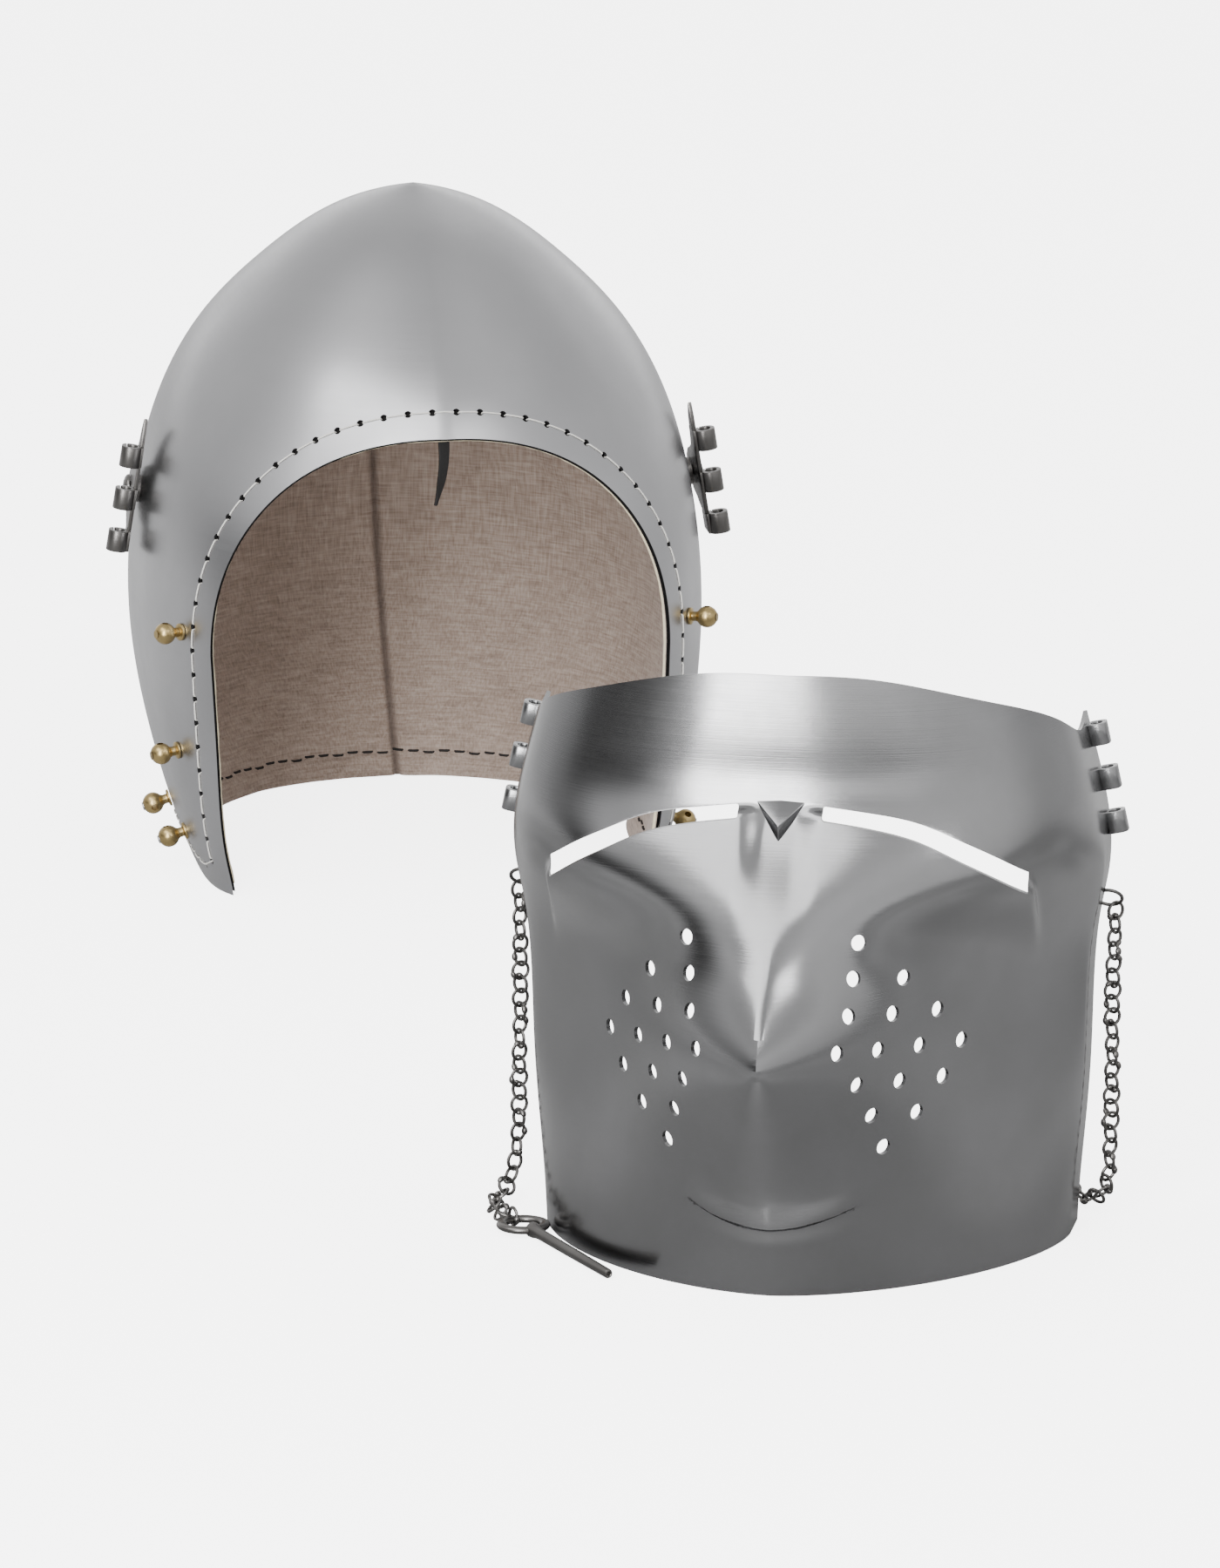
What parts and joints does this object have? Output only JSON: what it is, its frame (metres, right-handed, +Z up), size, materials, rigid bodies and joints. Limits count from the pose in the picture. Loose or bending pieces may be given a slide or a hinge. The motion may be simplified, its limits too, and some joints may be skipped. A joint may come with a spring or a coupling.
{
  "type": "bascinet with its visor taken off",
  "caption": "Pointed steel helmet skull with padded lining, hinge arms and brass studs, and its keeled, pierced visor standing in front with chained hinge pins.",
  "frame": {"origin": "middle of the outline on the floor that the skull and the visor stand on", "axes": "+Z up, +Y from the visor towards the skull behind it, the faces look towards -Y"},
  "size_m": [0.3948, 0.8478, 0.263],
  "materials": {
    "skull_steel": "satin polished",
    "visor_steel": "polished with fine brushing",
    "dark_steel": "blackened, worn",
    "chain_steel": "blackened, worn",
    "stud_brass": "aged",
    "lining_cotton": "padded woven cotton",
    "lace_leather": "matt"
  },
  "bodies": {
    "root": {"skull": "skull_steel", "lining": "lining_cotton", "lining_lace": "lace_leather", "pivot_left": "dark_steel", "pivot_right": "dark_steel", "vervelle_01": "stud_brass", "vervelle_02": "stud_brass", "vervelle_03": "stud_brass", "vervelle_04": "stud_brass", "vervelle_05": "stud_brass", "vervelle_06": "stud_brass", "vervelle_07": "stud_brass", "vervelle_08": "stud_brass", "vervelle_09": "stud_brass", "vervelle_10": "stud_brass", "vervelle_11": "stud_brass", "vervelle_12": "stud_brass", "vervelle_13": "stud_brass", "visor": "visor_steel", "chain_ring_left": "chain_steel", "chain_ring_right": "chain_steel", "chain_left": "chain_steel", "chain_right": "chain_steel", "hinge_pin_left": "dark_steel", "hinge_pin_right": "dark_steel"},
    "arm_left": {"hinge_arm_left": "dark_steel"},
    "arm_right": {"hinge_arm_right": "dark_steel"}
  },
  "joints": [
    {"name": "arm_left_turn", "type": "hinge", "parent": "root", "child": "arm_left", "pos_m": [-0.18426, 0.28797, 0.142], "axis": [-0.9861, -0.0669, 0.1519], "range_deg": [-15, 90]},
    {"name": "arm_right_turn", "type": "hinge", "parent": "root", "child": "arm_right", "pos_m": [0.02971, 0.31424, 0.142], "axis": [-0.973, -0.1737, -0.1519], "range_deg": [-15, 90]}
  ]
}
